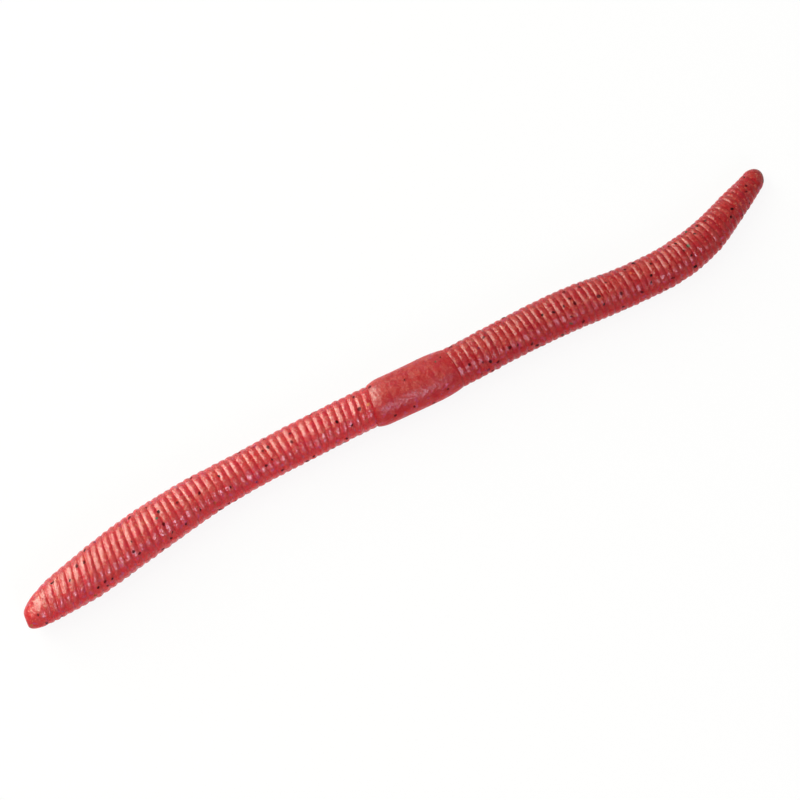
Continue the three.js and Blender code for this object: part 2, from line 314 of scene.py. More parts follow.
def ring_rise(place, grooves, faults):
    """Height from 0 in a groove to 1 on a crest, and the ring's own extra height in mm."""
    heights, crest_shares = faults
    ring = np.clip(np.searchsorted(grooves, place, side="right") - 1, 0, len(grooves) - 2)
    share = np.clip((place - grooves[ring]) / (grooves[ring + 1] - grooves[ring]), 0, 1)
    rise = ridge(share, crest_shares[ring])
    return rise, rise * heights[ring]


def shoulder(beyond):
    """Rise of a smooth end, from 0 at its groove to 1 a shoulder's length beyond it."""
    return 1 - np.clip(1 - beyond / SHOULDER_LENGTH, 0, 1) ** SHOULDER_POWER


def body_rise(place):
    """The same as ring_rise for the whole body, whose smooth ends stand at 1."""
    front, front_extra = ring_rise(place, front_grooves, front_faults)
    rear, rear_extra = ring_rise(place, rear_grooves, rear_faults)
    nose, tip = shoulder(SMOOTH_NOSE_LENGTH - place), shoulder(place - RINGS_END)
    zero = np.zeros_like(place)
    zones = [
        place <= SMOOTH_NOSE_LENGTH, place < SADDLE_PLACE, place <= SADDLE_END, place < RINGS_END,
    ]
    rise = np.select(zones, [nose, front, zero, rear], tip)
    return rise, np.select(zones, [zero, front_extra, zero, rear_extra], zero)


def saddle_rise(place):
    """Height of the band, from 0 at its two end grooves to 1."""
    front = quarter_round((place - SADDLE_PLACE) / SADDLE_FRONT_RAMP, SADDLE_POWER)
    rear = quarter_round((SADDLE_END - place) / SADDLE_REAR_RAMP, SADDLE_POWER)
    return np.minimum(front, rear)


def skin_radius(place):
    """Radius of the skin and its rise over the grooves."""
    rise, extra = body_rise(place)
    groove = crest_radius(place) - groove_depth(place)
    radius = groove + groove_depth(place) * rise + extra
    on_saddle = (place > SADDLE_PLACE) & (place < SADDLE_END)
    band = groove + (SADDLE_RADIUS - groove) * saddle_rise(place)
    return np.where(on_saddle, band, radius), np.where(on_saddle, saddle_rise(place), rise)


def wander(waves, phases, place, turn):
    """Sum of slow waves over the skin, in mm."""
    return sum(
        size * np.sin(count * turn + rate * place + phase)
        for (count, rate, size), phase in zip(waves, phases)
    )


def skin_points(place, turn):
    """Skin points in mm. Turn runs round the body from 0 on its right side through its top."""
    centre, onward, leftward, widening = axis_frame(place)
    radius, rise = skin_radius(place)
    calm = ease(0, 1, 0, CALM_LENGTH, place) * ease(0, 1, 0, CALM_LENGTH, BODY_LENGTH - place)
    radius = radius + wander(DENT_WAVES, dent_phases, place, turn) * calm
    drift = wander(DRIFT_WAVES, drift_phases, place, turn) * calm
    sideways = (-radius * widening * np.cos(turn))[..., None] * leftward
    points = centre + sideways + drift[..., None] * onward
    points[..., 2] = np.maximum(points[..., 2] + radius * np.sin(turn), 0)
    return points + cad_shift, rise


ring_widths = np.append(np.diff(front_grooves), np.diff(rear_grooves))
print("rings from", ring_widths.min().round(2), "to", ring_widths.max().round(2), "mm wide")

# %% [markdown]
# ## Helpers for node trees
#
# A material is a tree of nodes, and writing one out in code takes the same few moves over and over:
# add a node, set it, link it. A handful of helpers keep the trees below short enough to read.

# %% Helpers for node trees
def add_node(tree, kind, sockets=None, **settings):
    """A shader node with its settings and its input values or links."""
    made = tree.nodes.new("ShaderNode" + kind)
    for name, value in settings.items():
        setattr(made, name, value)
    for name, value in (sockets or {}).items():
        if isinstance(value, bpy.types.NodeSocket):
            tree.links.new(value, made.inputs[name])
        else:
            made.inputs[name].default_value = value
    return made


def arithmetic(tree, operation, first, second):
    return add_node(tree, "Math", {0: first, 1: second}, operation=operation).outputs[0]


def fade(tree, value, start, end):
    """0 at start, 1 at end, smooth in between."""
    sockets = {"Value": value, "From Min": start, "From Max": end}
    return add_node(tree, "MapRange", sockets, interpolation_type="SMOOTHSTEP").outputs["Result"]


def noise(tree, place, scale, detail):
    """A cloudy pattern between 0 and 1. Its scale is in clouds for each mm."""
    sockets = {"Vector": place, "Scale": scale, "Detail": detail}
    return add_node(tree, "TexNoise", sockets).outputs["Fac"]


def blend_colours(tree, factor, first, second):
    return add_node(tree, "Mix", {0: factor, 6: first, 7: second}, data_type="RGBA").outputs[2]


def read_attribute(tree, name, output):
    return add_node(tree, "Attribute", attribute_name=name).outputs[output]


def new_group(name, inputs, outputs):
    """An empty node group. Its inputs and outputs are given as names and kinds of socket."""
    group = bpy.data.node_groups.new(name, "ShaderNodeTree")
    for direction, sockets in (("INPUT", inputs), ("OUTPUT", outputs)):
        for label, kind in sockets.items():
            group.interface.new_socket(label, in_out=direction, socket_type="NodeSocket" + kind)
    start = group.nodes.new("NodeGroupInput")
    return group, start.outputs, group.nodes.new("NodeGroupOutput").inputs


def srgb(red, green, blue):
    """A colour of 0 to 255 as it looks on a screen, in Blender's linear values."""
    shares = [value / 255 for value in (red, green, blue)]
    return (*[s / 12.92 if s <= 0.04045 else ((s + 0.055) / 1.055) ** 2.4 for s in shares], 1)


print("mid grey of a screen in linear light:", round(srgb(128, 128, 128)[0], 3))

# %% [markdown]
# ## Colour of the plastisol
#
# Three plastics are needed: paler and pinker in the front half, plain red on the saddle, deeper red
# behind, partly painted shade where the rear half falls away from the light. They differ in their
# values and not in their workings, so the workings become node groups with named inputs. This first
# group puts out the colour. Painted light stands in for light that has gone through the plastic: a
# saturated red is painted into the thin grooves and at the thin nose end, and a brighter red on the
# underside. In between, the pigment lies in pale clouds, crimson patches and fine gold and violet
# pearl; the gold is kept to the upper side as a painted glint and the violet off the top as a
# painted sheen.
#
# The textures read where each point of the skin was when the worm lay at rest. That place is stored
# in the mesh as an attribute, so the pattern stays in the plastic when the worm bends. Three more
# attributes say how far along the body a point is, whether it lies in a groove or on a crest, and
# how much it faces up.

# %% Group: colour of cast plastisol
PALE_PIGMENT, PALE_SHARE = srgb(255, 170, 150), 0.22
GOLD_COLOUR, VIOLET_COLOUR = srgb(222, 140, 112), srgb(184, 76, 128)
CRIMSON_SHARE, DEEP_SHARE = 0.35, 0.5
# Where each effect starts and where it is full
CLOUD_RANGE, CRIMSON_RANGE, SPECKLE_RANGE = (0.35, 0.65), (0.45, 0.62), (0.54, 0.7)
PAINTED_GLOW_RANGE, PAINTED_NOSE_GLOW_RANGE, PAINTED_UNDERGLOW_RANGE = (0.75, 0.05), (0.03, 0.005), (0.8, -0.2)
GOLD_GLINT_FACING_RANGE, VIOLET_SHEEN_FACING_RANGE = (0.4, 0.95), (0.95, 0.6)


def speckle(tree, place, scale, seed):
    """A mask of small irregular spots."""
    sockets = {"Vector": place, "W": seed, "Scale": scale, "Detail": 2.0}
    spots = add_node(tree, "TexNoise", sockets, noise_dimensions="4D")
    return fade(tree, spots.outputs["Fac"], *SPECKLE_RANGE)


plastisol_colour, given, result = new_group(
    "Plastisol colour",
    {
        "Near Nose": "Color", "Near Tail": "Color", "Nose End": "Float", "Tail End": "Float",
        "Speckle And Painted Glow Colour": "Color", "Painted Glow Amount": "Float", "Painted Underglow Colour": "Color",
        "Painted Underglow Amount": "Float", "Cloud Amount": "Float", "Crimson Colour": "Color",
        "Gold Pearl": "Float", "Violet Pearl": "Float",
    },
    {"Colour": "Color", "Pearl": "Float"},
)
tree = plastisol_colour
rest_place = read_attribute(tree, "rest_place", "Vector")
along = read_attribute(tree, "along", "Fac")
rise = read_attribute(tree, "rise", "Fac")
facing_up = read_attribute(tree, "facing_up", "Fac")

length_share = fade(tree, along, given["Nose End"], given["Tail End"])
colour = blend_colours(tree, length_share, given["Near Nose"], given["Near Tail"])
clouds = fade(tree, noise(tree, rest_place, scale=0.9, detail=5.0), *CLOUD_RANGE)
clouds = arithmetic(tree, "MULTIPLY", clouds, given["Cloud Amount"])
pale = blend_colours(tree, PALE_SHARE, colour, PALE_PIGMENT)
colour = blend_colours(tree, clouds, colour, pale)
crimson = fade(tree, noise(tree, rest_place, scale=0.6, detail=4.0), *CRIMSON_RANGE)
crimson = arithmetic(tree, "MULTIPLY", crimson, CRIMSON_SHARE)
colour = blend_colours(tree, crimson, colour, given["Crimson Colour"])

# Painted light: the underside and lower flanks are blended to a brighter, saturated red. It stands in
# for light shining up through the plastic where shade falls.
painted_underglow = fade(tree, facing_up, *PAINTED_UNDERGLOW_RANGE)
painted_underglow = arithmetic(tree, "MULTIPLY", painted_underglow, given["Painted Underglow Amount"])
colour = blend_colours(tree, painted_underglow, colour, given["Painted Underglow Colour"])
# Painted light: a saturated red is painted into the grooves and at the nose end. It stands in for
# light shining through the thin plastic and lifts the shade in the grooves.
painted_glow = fade(tree, rise, *PAINTED_GLOW_RANGE)
painted_glow = arithmetic(tree, "MAXIMUM", painted_glow, fade(tree, along, *PAINTED_NOSE_GLOW_RANGE))
painted_glow = arithmetic(tree, "MULTIPLY", painted_glow, given["Painted Glow Amount"])
colour = blend_colours(tree, painted_glow, colour, given["Speckle And Painted Glow Colour"])

# The same red is also laid in random deep specks, which are the plastic's own tone.
deep = speckle(tree, rest_place, scale=3.0, seed=9.0)
deep = arithmetic(tree, "MULTIPLY", deep, DEEP_SHARE)
colour = blend_colours(tree, deep, colour, given["Speckle And Painted Glow Colour"])
# The gold pearl is the plastic's own, but keeping it to the upper side, where the light falls, is a
# painted glint.
gold = speckle(tree, rest_place, scale=2.6, seed=1.0)
gold = arithmetic(tree, "MULTIPLY", gold, fade(tree, facing_up, *GOLD_GLINT_FACING_RANGE))
gold = arithmetic(tree, "MULTIPLY", gold, given["Gold Pearl"])
colour = blend_colours(tree, gold, colour, GOLD_COLOUR)
# The violet pearl is the plastic's own, but keeping it off the top, so that it gathers on the flanks
# and underside, is a painted lavender sheen.
violet = speckle(tree, rest_place, scale=1.6, seed=5.0)
violet = arithmetic(tree, "MULTIPLY", violet, fade(tree, facing_up, *VIOLET_SHEEN_FACING_RANGE))
violet = arithmetic(tree, "MULTIPLY", violet, given["Violet Pearl"])
colour = blend_colours(tree, violet, colour, VIOLET_COLOUR)
tree.links.new(colour, result["Colour"])
tree.links.new(arithmetic(tree, "MAXIMUM", gold, violet), result["Pearl"])
print("node group:", tree.name, "with", len(tree.nodes), "nodes")

# %% [markdown]
# ## Grain of the surface
#
# Cast plastisol is oily and never quite smooth: it has soft lumps about a millimetre wide and finer
# pits on them, and its gloss changes from place to place. The second group puts out the roughness
# and the height of that grain, for a bump node to read. Pearl lies proud and shines a little more.

# %% Group: grain of the oily surface
NOISE_MIDDLE, ROUGHNESS_SWING, PEARL_ROUGHNESS = 0.5, 0.2, -0.1
LUMP_SHARE, PEARL_HEIGHT = 2.5, 0.3

plastisol_grain, given, result = new_group(
    "Plastisol grain",
    {"Roughness": "Float", "Grain Height": "Float", "Pearl": "Float"},
    {"Roughness": "Float", "Height": "Float"},
)
tree = plastisol_grain
rest_place = read_attribute(tree, "rest_place", "Vector")
smears = noise(tree, rest_place, scale=0.7, detail=3.0)
smears = arithmetic(tree, "SUBTRACT", smears, NOISE_MIDDLE)
smears = arithmetic(tree, "MULTIPLY", smears, ROUGHNESS_SWING)
roughness = arithmetic(tree, "ADD", smears, given["Roughness"])
pearl_gloss = arithmetic(tree, "MULTIPLY", given["Pearl"], PEARL_ROUGHNESS)
tree.links.new(arithmetic(tree, "ADD", roughness, pearl_gloss), result["Roughness"])
pits = noise(tree, rest_place, scale=2.6, detail=3.0)
lumps = noise(tree, rest_place, scale=1.1, detail=1.0)
lumps = arithmetic(tree, "MULTIPLY", lumps, LUMP_SHARE)
relief = arithmetic(tree, "ADD", pits, lumps)
pearl_relief = arithmetic(tree, "MULTIPLY", given["Pearl"], PEARL_HEIGHT)
relief = arithmetic(tree, "ADD", relief, pearl_relief)
tree.links.new(arithmetic(tree, "MULTIPLY", relief, given["Grain Height"]), result["Height"])
print("node group:", tree.name, "with", len(tree.nodes), "nodes")

# %% [markdown]
# ## The three plastics
#
# Each material places both groups with its own values and feeds one Principled shader. Light goes
# a short way into the plastic and comes out redder, which subsurface scattering imitates. Its
# radius is kept well under a ring's width: the real bait lets light through, but the rings still
# read as crisp ridges, and a large radius would also show where one skin ends and the next begins.
#
# Real plastisol has an index of refraction near 1.5. This room is white all round, and a mirror
# image of it at that strength would veil the red, so the index is set lower. The lamps, whose
# streaks do show on the real bait, are made brighter in the mirror to make up for it.

# %% Materials: front, saddle and rear plastic
SCATTER_SHARE, SCATTER_RADIUS, SCATTER_LENGTH = 0.5, (1.0, 0.22, 0.18), 0.5
BUMP_HEIGHT = 0.045


def make_plastic(name, colour_values, grain_values, ior):
    material = bpy.data.materials.new(name)
    material.use_nodes = True
    tree = material.node_tree
    shader = tree.nodes["Principled BSDF"]
    colour = tree.nodes.new("ShaderNodeGroup")
    colour.node_tree = plastisol_colour
    grain = tree.nodes.new("ShaderNodeGroup")
    grain.node_tree = plastisol_grain
    for placed, values in ((colour, colour_values), (grain, grain_values)):
        for socket, value in values.items():
            placed.inputs[socket].default_value = value
    tree.links.new(colour.outputs["Pearl"], grain.inputs["Pearl"])
    tree.links.new(colour.outputs["Colour"], shader.inputs["Base Color"])
    tree.links.new(grain.outputs["Roughness"], shader.inputs["Roughness"])
    bump = add_node(tree, "Bump", {"Height": grain.outputs["Height"], "Distance": BUMP_HEIGHT * MM})
    tree.links.new(bump.outputs["Normal"], shader.inputs["Normal"])
    shader.inputs["IOR"].default_value = ior
    shader.inputs["Subsurface Weight"].default_value = SCATTER_SHARE
    shader.inputs["Subsurface Radius"].default_value = SCATTER_RADIUS
    shader.inputs["Subsurface Scale"].default_value = SCATTER_LENGTH * MM
    return material


# In each plastic below, the saturated red of the grooves and the brighter red of the underside are
# painted light, standing in for light through the plastic.
front_plastic = make_plastic(
    "front_plastic",
    {
        "Near Nose": srgb(188, 40, 44), "Near Tail": srgb(184, 26, 34), "Nose End": 0.0,
        "Tail End": 0.46, "Speckle And Painted Glow Colour": srgb(214, 24, 38), "Painted Glow Amount": 0.5,
        "Painted Underglow Colour": srgb(252, 18, 20), "Painted Underglow Amount": 0.9, "Cloud Amount": 0.45,
        "Gold Pearl": 0.4, "Violet Pearl": 0.6, "Crimson Colour": srgb(200, 20, 66),
    },
    {"Roughness": 0.27, "Grain Height": 1.2},
    ior=1.34,
)
saddle_plastic = make_plastic(
    "saddle_plastic",
    {
        "Near Nose": srgb(175, 22, 28), "Near Tail": srgb(171, 18, 25), "Nose End": 0.46,
        "Tail End": 0.55, "Speckle And Painted Glow Colour": srgb(184, 20, 24), "Painted Glow Amount": 0.4,
        "Painted Underglow Colour": srgb(226, 12, 22), "Painted Underglow Amount": 0.9, "Cloud Amount": 0.5,
        "Gold Pearl": 0.2, "Violet Pearl": 0.6, "Crimson Colour": srgb(174, 16, 50),
    },
    {"Roughness": 0.38, "Grain Height": 1.15},
    ior=1.29,
)
# The rear plastic's deeper red, darkening towards the tail, is partly its own and partly painted
# shade where the rear half falls away from the light.
rear_plastic = make_plastic(
    "rear_plastic",
    {
        "Near Nose": srgb(168, 16, 25), "Near Tail": srgb(163, 12, 20), "Nose End": 0.55,
        "Tail End": 0.8, "Speckle And Painted Glow Colour": srgb(180, 14, 24), "Painted Glow Amount": 0.5,
        "Painted Underglow Colour": srgb(222, 12, 20), "Painted Underglow Amount": 0.9, "Cloud Amount": 0.4,
        "Gold Pearl": 0.35, "Violet Pearl": 0.5, "Crimson Colour": srgb(160, 12, 46),
    },
    {"Roughness": 0.28, "Grain Height": 1.2},
    ior=1.27,
)
print("materials:", front_plastic.name, saddle_plastic.name, rear_plastic.name)

# %% [markdown]
# ## Skins over the joints
#
# The real body is one piece, but here the skin is cut half-way between neighbouring joints, always
# in the floor of a groove, where the cut can't be seen. So the skin is cut half-way between
# neighbouring joints, always in the floor of a groove, where the cut can't be seen. The saddle band
# has no joint and rides on its own section.
#
# A skin is a loft: a loop of points for every station along the body, faces between the loops and
# a fan over each end, so the mesh is closed. Stations lie closer together near the grooves, where
# the surface curves most.

# %% Helpers for the skins
SKIN_SIDES = 72
STATION_SHARES = np.array([0, 0.03, 0.09, 0.17, 0.28, 0.42, 0.58, 0.72, 0.83, 0.91, 0.97])


def ring_stations(grooves, first, last):
    """Places of the loops over the rings from one groove to another."""
    widths = np.diff(grooves)[first:last, None]
    stations = grooves[first:last, None] + widths * STATION_SHARES
    return np.append(stations.ravel(), grooves[last])


def store(mesh, label, numbers):
    """Keeps a number or a vector for each point in the mesh, which materials can read."""
    kind, field = ("FLOAT", "value") if np.ndim(numbers) == 1 else ("FLOAT_VECTOR", "vector")
    attribute = mesh.attributes.new(label, kind, "POINT")
    attribute.data.foreach_set(field, np.asarray(numbers, np.float32).ravel())


def link_object(name, data):
    made = bpy.data.objects.new(name, data)
    bpy.context.scene.collection.objects.link(made)
    return made


def loft_skin(name, places, material, start_point=None, end_point=None):
    """A closed skin through loops at these places, as an object with its attributes."""
    turns = np.arange(SKIN_SIDES) * 2 * math.pi / SKIN_SIDES
    place, turn = np.meshgrid(places, turns, indexing="ij")
    points, rise = skin_points(place, turn)
    loops = len(places)
    fans = [points[0].mean(0) if start_point is None else start_point]
    fans.append(points[-1].mean(0) if end_point is None else end_point)
    vertices = np.vstack([points.reshape(-1, 3), fans])
    start, end = loops * SKIN_SIDES, loops * SKIN_SIDES + 1
    faces = []
    for side in range(SKIN_SIDES):
        other = (side + 1) % SKIN_SIDES
        for loop in range(loops - 1):
            low, high = loop * SKIN_SIDES, (loop + 1) * SKIN_SIDES
            faces.append((low + side, low + other, high + other, high + side))
        faces.append((start, other, side))
        faces.append((end, high + side, high + other))
    mesh = bpy.data.meshes.new(name)
    mesh.from_pydata((vertices * MM).tolist(), [], faces)
    mesh.polygons.foreach_set("use_smooth", [len(face) == 4 for face in faces])
    store(mesh, "along", np.append(place.ravel(), [places[0], places[-1]]) / BODY_LENGTH)
    store(mesh, "rise", np.append(rise.ravel(), [rise[0, 0], rise[-1, 0]]))
    store(mesh, "facing_up", np.append(np.sin(turn).ravel(), [0, 0]))
    store(mesh, "rest_place", vertices)
    mesh.materials.append(material)
    mesh.validate()
    return link_object(name, mesh)


def bend_over(piece, hinge_place):
    """Works out the axis at the hinge and bakes the piece's place into its mesh."""
    centre, onward, _, _ = axis_frame(np.array([hinge_place]))
    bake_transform(piece)


print("loops in each ring:", len(STATION_SHARES), "with", SKIN_SIDES, "points in each loop")

# %% Build the ringed skins
CUT_RINGS = 3
NOSE_LOOPS, NOSE_START_SHARE = 14, 0.02
TIP_LOOPS, TIP_END_SHARE, CAP_POWER = 16, 0.985, 1.6

# Each stretch: its body nearer the saddle, its body beyond the joint, the hinge, the width of the
# ring there, and the grooves at its two ends
stretches = []
for joint, rings in enumerate(joint_rings):
    last = joint == SECTIONS_PER_SIDE - 1
    far_cut = rings + CUT_RINGS
    near_cut = 0 if joint == 0 else far_cut - SECTION_RINGS
    front_cuts = (0 if last else FRONT_RINGS - far_cut, FRONT_RINGS - near_cut)
    rear_cuts = (near_cut, REAR_RINGS if last else far_cut)
    stretches.append((*front_bodies[joint : joint + 2], *front_joints[joint], front_cuts))
    stretches.append((*rear_bodies[joint : joint + 2], *rear_joints[joint], rear_cuts))

nose_shares = np.linspace(NOSE_START_SHARE, 1, NOSE_LOOPS, endpoint=False) ** CAP_POWER
nose_stations = SMOOTH_NOSE_LENGTH * nose_shares
tip_shares = (1 - np.linspace(0, TIP_END_SHARE, TIP_LOOPS)[1:]) ** CAP_POWER
tip_stations = BODY_LENGTH - SMOOTH_TIP_LENGTH * tip_shares
skins = {}
for held, child, hinge_place, pitch, cuts in stretches:
    in_front = hinge_place < SADDLE_MIDDLE
    places = ring_stations(front_grooves if in_front else rear_grooves, *cuts)
    ends = {}
    if child == "nose":
        places = np.append(nose_stations, places)
        ends["start_point"] = axis_point(0.0) + cad_shift
    if child == "tail_tip":
        places = np.append(places, tip_stations)
        ends["end_point"] = axis_point(BODY_LENGTH) + cad_shift
    material = front_plastic if in_front else rear_plastic
    skin = loft_skin(f"{child}_skin", places, material, **ends)
    bend_over(skin, hinge_place)
    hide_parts(child)
    skins[child] = (skin, places[0], places[-1])
print("ringed skins:", len(skins))

# %% Build the saddle band
FRONT_RAMP_LOOPS, BAND_LOOPS, REAR_RAMP_LOOPS = 14, 28, 12
FRONT_RAMP_POWER, REAR_RAMP_POWER = 1.7, 1.9

band_start, band_end = SADDLE_PLACE + SADDLE_FRONT_RAMP, SADDLE_END - SADDLE_REAR_RAMP
saddle_places = np.concatenate([
    SADDLE_PLACE + SADDLE_FRONT_RAMP * np.linspace(0, 1, FRONT_RAMP_LOOPS) ** FRONT_RAMP_POWER,
    np.linspace(band_start, band_end, BAND_LOOPS)[1:-1],
    SADDLE_END - SADDLE_REAR_RAMP * np.linspace(1, 0, REAR_RAMP_LOOPS) ** REAR_RAMP_POWER,
])
band = loft_skin("saddle_band", saddle_places, saddle_plastic)
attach(band, "saddle")
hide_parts("saddle")
skins["saddle"] = (band, SADDLE_PLACE, SADDLE_END)
print("skins:", len(skins), "faces:", sum(len(skin[0].data.polygons) for skin in skins.values()))

# %% [markdown]
# ## Foil of the glitter flakes
#
# The plastic holds thin hexagonal flakes of foil, most of them black, a few gold, green or violet.
# The deeper a flake lies, the redder it looks, since red plastic covers it. A material can't see
# how deep a flake lies, so that is stored in the mesh as well and mixes two colours. The shine is
# kept low, because a film of plastic lies over the foil.

# %% Material of a foil flake
STAIN_RANGE, STAIN_SHARE = (0.4, 0.65), 0.35
BARE_ROUGHNESS, COVERED_ROUGHNESS, FLAKE_IOR = 0.45, 0.55, 1.13


def make_flake_material(name, foil, covered, metallic):
    """Foil near the surface, mixing to the colour of a flake covered by plastic."""
    material = bpy.data.materials.new(name)
    material.use_nodes = True
    tree = material.node_tree
    shader = tree.nodes["Principled BSDF"]
    depth = read_attribute(tree, "depth", "Fac")
    rest_place = read_attribute(tree, "rest_place", "Vector")
    stain = fade(tree, noise(tree, rest_place, scale=3.0, detail=3.0), *STAIN_RANGE)
    stain = arithmetic(tree, "MULTIPLY", stain, STAIN_SHARE)
    cover = arithmetic(tree, "ADD", depth, stain)
    cover = add_node(tree, "Clamp", {"Value": cover}).outputs[0]
    tree.links.new(blend_colours(tree, cover, foil, covered), shader.inputs["Base Color"])
    sockets = {"Value": cover, "To Min": BARE_ROUGHNESS, "To Max": COVERED_ROUGHNESS}
    roughness = add_node(tree, "MapRange", sockets).outputs["Result"]
    tree.links.new(roughness, shader.inputs["Roughness"])
    shader.inputs["Metallic"].default_value = metallic
    shader.inputs["IOR"].default_value = FLAKE_IOR
    return material


flake_materials = {
    "black": make_flake_material("black_flake", srgb(14, 4, 6), srgb(112, 18, 26), metallic=0.0),
    "gold": make_flake_material("gold_flake", srgb(184, 118, 76), srgb(184, 76, 54), metallic=0.1),
    "green": make_flake_material("green_flake", srgb(70, 92, 74), srgb(120, 54, 50), metallic=0.1),
    "violet": make_flake_material("violet_flake", srgb(124, 54, 88), srgb(140, 38, 58), metallic=0.1),
}
print("flake materials:", [material.name for material in flake_materials.values()])

# %% [markdown]
# ## Flakes in the skin
#
# A flake may lie at any angle in the plastic and looks narrower when it is tilted, so each hexagon
# is squeezed by a random share. It is laid over the skin with its lower face just inside, as a
# closed thin body. Places are drawn at random and kept apart from each other, with as many flakes
# for each square millimetre as the real bait shows.

# %% Shape and place of a flake
FLAKE_RADII, FLAKE_SQUEEZES, FLAKE_DEPTHS = (0.19, 0.33), (0.45, 1), (0, 0.9)
FLAKE_LIFT, FLAKE_SINK = 0.014, 0.03
FLAKE_LOOPS, FLAKE_POINTS = 3, 12
FLAKE_TURNS = (math.radians(-40), math.radians(220))
FLAKE_GAP, SEAM_MARGIN, FLAKE_SEED = 0.9, 0.4, 23
flake_chance = np.random.default_rng(FLAKE_SEED)


def hexagon(radius, squeeze, spin):
    """Loops of a hexagon round its middle, squeezed across, in mm along and round the body."""
    angles = np.arange(FLAKE_POINTS) * 2 * math.pi / FLAKE_POINTS
    reach = np.where(np.arange(FLAKE_POINTS) % 2, math.cos(math.pi / 6), 1) * radius
    sizes = np.arange(1, FLAKE_LOOPS + 1)[:, None] / FLAKE_LOOPS * reach
    across, up = sizes * np.cos(angles), sizes * np.sin(angles) * squeeze
    along = across * math.cos(spin) - up * math.sin(spin)
    round_body = across * math.sin(spin) + up * math.cos(spin)
    return np.append(0, along.ravel()), np.append(0, round_body.ravel())


def lay_on_skin(place, turn, lift):
    """Points at a height over the skin."""
    points, _ = skin_points(place, turn)
    _, _, leftward, _ = axis_frame(place)
    outward = -np.cos(turn)[:, None] * leftward
    outward[:, 2] = np.sin(turn)
    return points + lift * outward


def flake_faces(first):
    """Faces of one closed flake: an upper and a lower fan of loops, joined at the rim."""
    count = 1 + FLAKE_LOOPS * FLAKE_POINTS
    faces = []
    for point in range(FLAKE_POINTS):
        other = (point + 1) % FLAKE_POINTS
        for base, flip in ((first, False), (first + count, True)):
            rows = [base + 1 + loop * FLAKE_POINTS for loop in range(FLAKE_LOOPS)]
            made = [(base, rows[0] + other, rows[0] + point)]
            made += [
                (low + point, low + other, high + other, high + point)
                for low, high in zip(rows, rows[1:])
            ]
            faces += [face[::-1] if flip else face for face in made]
        rim = first + 1 + (FLAKE_LOOPS - 1) * FLAKE_POINTS
        low_rim = rim + count
        faces.append((rim + point, rim + other, low_rim + other, low_rim + point))
    return faces


def radius_at(place):
    return skin_radius(np.array([place]))[0][0]


def scatter_places(start, end, count, taken):
    """Seeded places and turns on the skin, apart from each other and from those taken."""
    chosen = []
    while len(chosen) < count:
        place = flake_chance.uniform(start + SEAM_MARGIN, end - SEAM_MARGIN)
        turn = flake_chance.uniform(*FLAKE_TURNS)
        radius = radius_at(place)
        if all(math.hypot(place - p, radius * (turn - t)) > FLAKE_GAP for p, t in taken):
            chosen.append((place, turn))
            taken.append((place, turn))
    return chosen


print("faces of one flake:", len(flake_faces(0)))

# %% Build the flakes
AREA_PER_FLAKE = {"front": 15.0, "saddle": 26.0, "rear": 11.0}
COLOURED_KINDS = ["gold", "violet", "green"]
COLOURED_ON_SADDLE, COLOURED_ELSEWHERE = 1, 2


def build_flakes(name, kind, spots):
    """One object holding all the flakes of one kind in one skin."""
    vertices, depths, faces = [], [], []
    for place, turn in spots:
        size = flake_chance.uniform(*FLAKE_RADII)
        squeeze, spin = flake_chance.uniform(*FLAKE_SQUEEZES), flake_chance.uniform(0, math.pi)
        along, round_body = hexagon(size, squeeze, spin)
        places, turns = place + along, turn + round_body / radius_at(place)
        faces += flake_faces(len(depths))
        for lift in (FLAKE_LIFT, -FLAKE_SINK):
            vertices.append(lay_on_skin(places, turns, lift))
        depths += [flake_chance.uniform(*FLAKE_DEPTHS)] * (2 * len(along))
    vertices = np.vstack(vertices)
    mesh = bpy.data.meshes.new(name)
    mesh.from_pydata((vertices * MM).tolist(), [], faces)
    store(mesh, "depth", depths)
    store(mesh, "rest_place", vertices)
    mesh.materials.append(flake_materials[kind])
    flakes = link_object(name, mesh)
    return flakes


flake_total = 0
bends = {child: (held, hinge_place, pitch) for held, child, hinge_place, pitch, _ in stretches}
for number, (body, (_, start, end)) in enumerate(skins.items()):
    zone = {"nose": "front", "tail_tip": "rear"}.get(body, body.split("_")[0])
    skin_area = (end - start) * 2 * math.pi * radius_at((start + end) / 2)
    coloured_kind = COLOURED_KINDS[number % len(COLOURED_KINDS)]
    plan = {
        "black": round(skin_area / AREA_PER_FLAKE[zone]),
        coloured_kind: COLOURED_ON_SADDLE if body == "saddle" else COLOURED_ELSEWHERE,
    }
    taken = []
    for kind, wanted in plan.items():
        spots = scatter_places(start, end, wanted, taken)
        flakes = build_flakes(f"{body}_{kind}_flakes", kind, spots)
        flake_total += wanted
        if body == "saddle":
            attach(flakes, "saddle")
        else:
            held, hinge_place, pitch = bends[body]
            bend_over(flakes, hinge_place)
print("flakes:", flake_total)

# %% [markdown]
# ## White floor and white room
#
# The bait was photographed on plain white. A floor and a room that really shine that bright would
# pour light on the worm from all sides and wash its shading out. So both of them have two faces,
# told apart by the kind of ray that meets them: a camera ray, or one that a mirror or glass sends
# on, sees full white, while the light that they throw on the worm is that of a grey floor and a
# dim room. Close to the worm the floor keeps a little of its own shading, so that the soft shadow
# stays, and it grows to full white farther out.

# %% Floor and world
FLOOR_SIZE, FLOOR_ROUGHNESS = 6, 0.9
FLOOR_GREY, FLOOR_WHITE = (0.22, 0.22, 0.22, 1), (0.9, 0.9, 0.9, 1)
WHITENING = {"From Min": 0.12, "From Max": 0.5, "To Min": 0.9, "To Max": 1.0}
PURE_WHITE, ROOM_STRENGTH = (1, 1, 1, 1), 0.2


def seen_directly(tree):
    """1 for what the camera, a mirror or glass sees."""
    path = add_node(tree, "LightPath").outputs
    seen = arithmetic(tree, "MAXIMUM", path["Is Camera Ray"], path["Is Transmission Ray"])
    return arithmetic(tree, "MAXIMUM", seen, path["Is Glossy Ray"])


